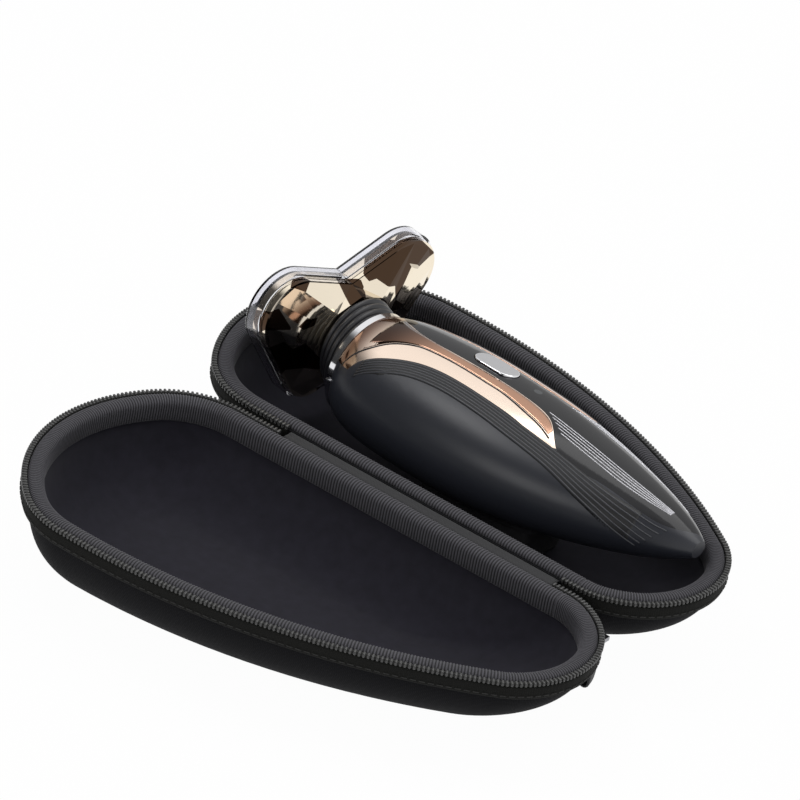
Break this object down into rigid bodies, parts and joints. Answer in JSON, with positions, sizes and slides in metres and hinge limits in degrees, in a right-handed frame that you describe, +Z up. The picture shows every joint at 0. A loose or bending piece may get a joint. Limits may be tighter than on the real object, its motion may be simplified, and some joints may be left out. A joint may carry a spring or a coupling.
{
  "type": "shaver travel case",
  "caption": "Hinged hard travel case with a zip round its rim, open flat, with a rotary head shaver lying in one half.",
  "frame": {"origin": "on the flat rest face of the base half, near the middle of its wide end", "axes": "+X along the fabric hinge towards the narrow tip, +Y from the hinge across the base half, +Z up out of the open case"},
  "size_m": [0.2145, 0.2268, 0.0709],
  "materials": {
    "shell_fabric": "matt",
    "lining_fabric": "matt",
    "ribbed_fabric": "ribbed",
    "webbing": "woven",
    "zip_tape": "woven",
    "zip_coil": "satin",
    "zip_metal": "polished",
    "satin_handle": "satin",
    "gloss_black": "gloss",
    "rose_gold": "polished",
    "chrome": "polished",
    "light_lens": "gloss",
    "inner_plastic": "matt",
    "steel": "brushed",
    "cell_wrap": "gloss",
    "board": "gloss",
    "black_plastic": "matt",
    "bellows_rubber": "matt",
    "gold_mirror": "mirror",
    "clear_cap": "clear",
    "gear_plastic": "matt",
    "foam": "matt",
    "tray_plastic": "matt"
  },
  "bodies": {
    "base": {"base_shell": "shell_fabric", "base_lining": "lining_fabric", "base_rim_binding": "ribbed_fabric", "base_zip_tape": "zip_tape", "base_zip_coil": "zip_coil", "hinge_panel": "webbing", "zip_tail": "zip_tape", "zip_end_stops": "zip_metal", "foam_pad": "foam"},
    "cradle": {"cradle_tray": "tray_plastic"},
    "lid": {"lid_shell": "shell_fabric", "lid_lining": "lining_fabric", "lid_rim_binding": "ribbed_fabric", "lid_zip_tape": "zip_tape", "lid_zip_coil": "zip_coil", "grab_tab": "webbing"},
    "zip_slider": {"zip_slider": "zip_metal"},
    "zip_pull": {"zip_pull": "zip_metal"},
    "shaver": {"handle_shell": "satin_handle", "top_panel": "gloss_black", "trim_left": "rose_gold", "trim_right": "rose_gold", "status_light": "light_lens", "chassis": "inner_plastic", "belly_screws": "steel", "battery_cells": "cell_wrap", "circuit_board": "board", "power_switch": "black_plastic", "charging_socket": "steel", "neck_collar": "chrome", "neck_bellows": "bellows_rubber", "neck_post": "inner_plastic", "tilt_pins": "steel", "motor": "steel", "motor_bracket": "steel"},
    "power_button": {"power_button": "chrome"},
    "release_stud_left": {"release_stud_left": "chrome"},
    "release_stud_right": {"release_stud_right": "chrome"},
    "drive_shaft": {"drive_shaft": "steel"},
    "head": {"head_housing": "gold_mirror", "gear_plate": "inner_plastic", "guard_frame": "inner_plastic", "guard_1": "steel", "guard_2": "steel", "guard_3": "steel", "guard_4": "steel"},
    "head_cap": {"head_cap": "clear_cap"},
    "drive_pinion": {"drive_pinion": "gear_plastic"},
    "idler_1": {"idler_gear_1": "gear_plastic"},
    "idler_2": {"idler_gear_2": "gear_plastic"},
    "cutter_1": {"cutter_gear_1": "gear_plastic", "cutter_1": "steel"},
    "cutter_2": {"cutter_gear_2": "gear_plastic", "cutter_2": "steel"},
    "cutter_3": {"cutter_gear_3": "gear_plastic", "cutter_3": "steel"},
    "cutter_4": {"cutter_gear_4": "gear_plastic", "cutter_4": "steel"}
  },
  "joints": [
    {"name": "lid_hinge", "type": "hinge", "parent": "base", "child": "lid", "pos_m": [0.074, -0.0575, 0.036], "axis": [-1, 0, 0], "range_deg": [0, 180], "deforming": ["hinge_panel"]},
    {"name": "slider_slide", "type": "slide", "parent": "base", "child": "zip_slider", "axis": [1, 0, 0], "range_m": [0, 0.006]},
    {"name": "pull_swing", "type": "hinge", "parent": "zip_slider", "child": "zip_pull", "pos_m": [0.1325, -0.0575, 0.0216], "axis": [0, 1, 0], "range_deg": [0, 50]},
    {"name": "cradle_settle", "type": "slide", "parent": "base", "child": "cradle", "axis": [0, 0, -1], "range_m": [0, 0.0097], "deforming": ["foam_pad"]},
    {"name": "shaver_lift", "type": "slide", "parent": "cradle", "child": "shaver", "axis": [0, 0, -1], "range_m": [-0.09, 0]},
    {"name": "power_press", "type": "slide", "parent": "shaver", "child": "power_button", "axis": [-0.012, -0.228, -0.9736], "range_m": [0, 0.0008], "stiffness_N_per_m": 1500, "springref_m": -0.0002},
    {"name": "release_press_left", "type": "slide", "parent": "shaver", "child": "release_stud_left", "axis": [-0.1736, -0.9848, 0], "range_m": [0, 0.0008], "stiffness_N_per_m": 600, "springref_m": -0.0002},
    {"name": "release_press_right", "type": "slide", "parent": "shaver", "child": "release_stud_right", "axis": [0.1736, 0.9848, 0], "range_m": [0, 0.0008], "stiffness_N_per_m": 600, "springref_m": -0.0002},
    {"name": "shaft_spin", "type": "hinge", "parent": "shaver", "child": "drive_shaft", "pos_m": [0.012, -0.0018, 0.041], "axis": [-0.9848, 0.1736, 0], "continuous": true},
    {"name": "head_tilt", "type": "hinge", "parent": "shaver", "child": "head", "pos_m": [0.00314, -0.00024, 0.041], "axis": [0.1736, 0.9848, 0], "range_deg": [-6, 6], "deforming": ["neck_bellows"]},
    {"name": "pinion_spin", "type": "hinge", "parent": "head", "child": "drive_pinion", "pos_m": [-0.0077, 0.00167, 0.041], "axis": [-0.9848, 0.1736, 0], "continuous": true},
    {"name": "cap_pull", "type": "slide", "parent": "head", "child": "head_cap", "axis": [0.9848, -0.1736, 0], "range_m": [-0.003, 0]},
    {"name": "idler_spin_1", "type": "hinge", "parent": "head", "child": "idler_1", "pos_m": [-0.00989, -0.01075, 0.04794], "axis": [-0.9848, 0.1736, 0], "continuous": true},
    {"name": "cutter_spin_1", "type": "hinge", "parent": "head", "child": "cutter_1", "pos_m": [-0.01232, -0.02456, 0.05565], "axis": [-0.9848, 0.1736, 0], "continuous": true},
    {"name": "idler_spin_2", "type": "hinge", "parent": "head", "child": "idler_2", "pos_m": [-0.0055, 0.0141, 0.04794], "axis": [-0.9848, 0.1736, 0], "continuous": true},
    {"name": "cutter_spin_2", "type": "hinge", "parent": "head", "child": "cutter_2", "pos_m": [-0.00307, 0.02791, 0.05565], "axis": [-0.9848, 0.1736, 0], "continuous": true},
    {"name": "cutter_spin_3", "type": "hinge", "parent": "head", "child": "cutter_3", "pos_m": [-0.00977, -0.01007, 0.02916], "axis": [-0.9848, 0.1736, 0], "continuous": true},
    {"name": "cutter_spin_4", "type": "hinge", "parent": "head", "child": "cutter_4", "pos_m": [-0.00563, 0.01341, 0.02916], "axis": [-0.9848, 0.1736, 0], "continuous": true}
  ],
  "couplings": [
    {"joint": "cradle_settle", "follows": "lid_hinge", "m_per_rad": 0.0030558},
    {"joint": "pinion_spin", "follows": "shaft_spin", "ratio": 1},
    {"joint": "idler_spin_1", "follows": "shaft_spin", "ratio": -1.5714},
    {"joint": "cutter_spin_1", "follows": "shaft_spin", "ratio": 0.84615},
    {"joint": "idler_spin_2", "follows": "shaft_spin", "ratio": -1.5714},
    {"joint": "cutter_spin_2", "follows": "shaft_spin", "ratio": 0.84615},
    {"joint": "cutter_spin_3", "follows": "shaft_spin", "ratio": -1.1},
    {"joint": "cutter_spin_4", "follows": "shaft_spin", "ratio": -1.1}
  ]
}
